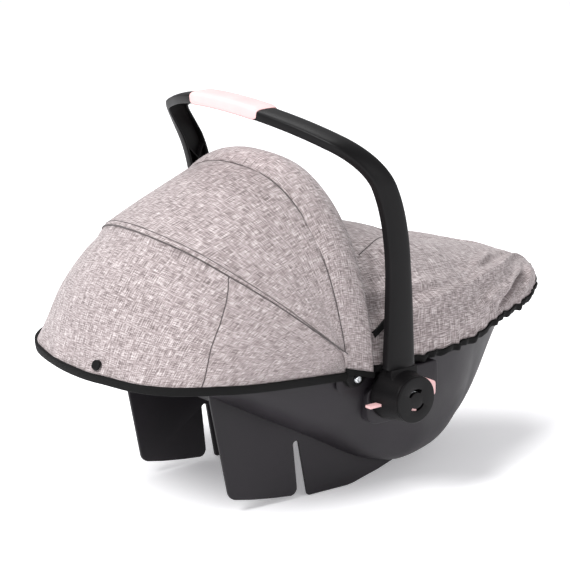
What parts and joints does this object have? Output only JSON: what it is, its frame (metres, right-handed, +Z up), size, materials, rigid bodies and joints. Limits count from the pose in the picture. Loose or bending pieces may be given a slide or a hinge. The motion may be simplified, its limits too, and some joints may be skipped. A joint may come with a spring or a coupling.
{
  "type": "infant car seat",
  "caption": "Rear-facing infant carrier seat: moulded bucket on two runner skirts, swing handle with a coloured grip, folding sun hood and a gathered foot cover.",
  "frame": {"origin": "on the floor, in the plane of symmetry, straight under the handle's turning axis", "axes": "+X towards the foot end, +Y towards the seat's left side, +Z up"},
  "size_m": [0.7168, 0.43, 0.4772],
  "materials": {
    "charcoal_plastic": "matte",
    "blush_plastic": "satin",
    "melange_linen": "matte",
    "liner_cloth": "matte",
    "bead_foam": "matte",
    "webbing": "matte",
    "black_tape": "matte",
    "zinc_steel": "satin",
    "red_plastic": "gloss",
    "spring_strip": "satin"
  },
  "bodies": {
    "seat": {"shell": "charcoal_plastic", "foam_liner": "bead_foam", "seat_cover": "liner_cloth", "harness_strap_right": "webbing", "harness_strap_left": "webbing", "shoulder_pad_right": "liner_cloth", "shoulder_pad_left": "liner_cloth", "crotch_strap": "webbing", "buckle": "charcoal_plastic", "adjuster_strap": "webbing", "pivot_bolts": "zinc_steel", "lock_rings": "zinc_steel", "hinge_plates": "charcoal_plastic", "hood_screws": "zinc_steel", "hood_back": "melange_linen", "hood_binding": "black_tape", "snap_button": "charcoal_plastic", "foot_cover": "melange_linen", "cover_binding": "black_tape"},
    "carry_handle": {"handle": "charcoal_plastic", "handle_hub_right": "charcoal_plastic", "handle_hub_left": "charcoal_plastic", "grip": "blush_plastic", "hub_cap_right": "charcoal_plastic", "hub_cap_left": "charcoal_plastic"},
    "release_right": {"release_bar_right": "blush_plastic"},
    "release_left": {"release_bar_left": "blush_plastic"},
    "rear_hoop": {"rear_bow": "spring_strip", "hood_panel": "melange_linen"},
    "front_hoop": {"front_bow": "spring_strip", "hood_visor": "melange_linen"},
    "buckle_push": {"buckle_button": "red_plastic"}
  },
  "joints": [
    {"name": "handle_turn", "type": "hinge", "parent": "seat", "child": "carry_handle", "pos_m": [0, 0, 0.138], "axis": [0, 1, 0], "range_deg": [-36, 84]},
    {"name": "release_right_push", "type": "slide", "parent": "carry_handle", "child": "release_right", "axis": [0, 1, 0], "range_m": [0, 0.004], "stiffness_N_per_m": 800},
    {"name": "release_left_push", "type": "slide", "parent": "carry_handle", "child": "release_left", "axis": [0, -1, 0], "range_m": [0, 0.004], "stiffness_N_per_m": 800},
    {"name": "hood_rear_fold", "type": "hinge", "parent": "seat", "child": "rear_hoop", "pos_m": [-0.0535, 0, 0.1635], "axis": [0, 1, 0], "range_deg": [-15, 0]},
    {"name": "hood_front_fold", "type": "hinge", "parent": "rear_hoop", "child": "front_hoop", "pos_m": [-0.0535, 0, 0.1635], "axis": [0, 1, 0], "range_deg": [-36, 0]},
    {"name": "buckle_press", "type": "slide", "parent": "seat", "child": "buckle_push", "axis": [-0.1045, 0, -0.9945], "range_m": [0, 0.003], "stiffness_N_per_m": 600}
  ]
}
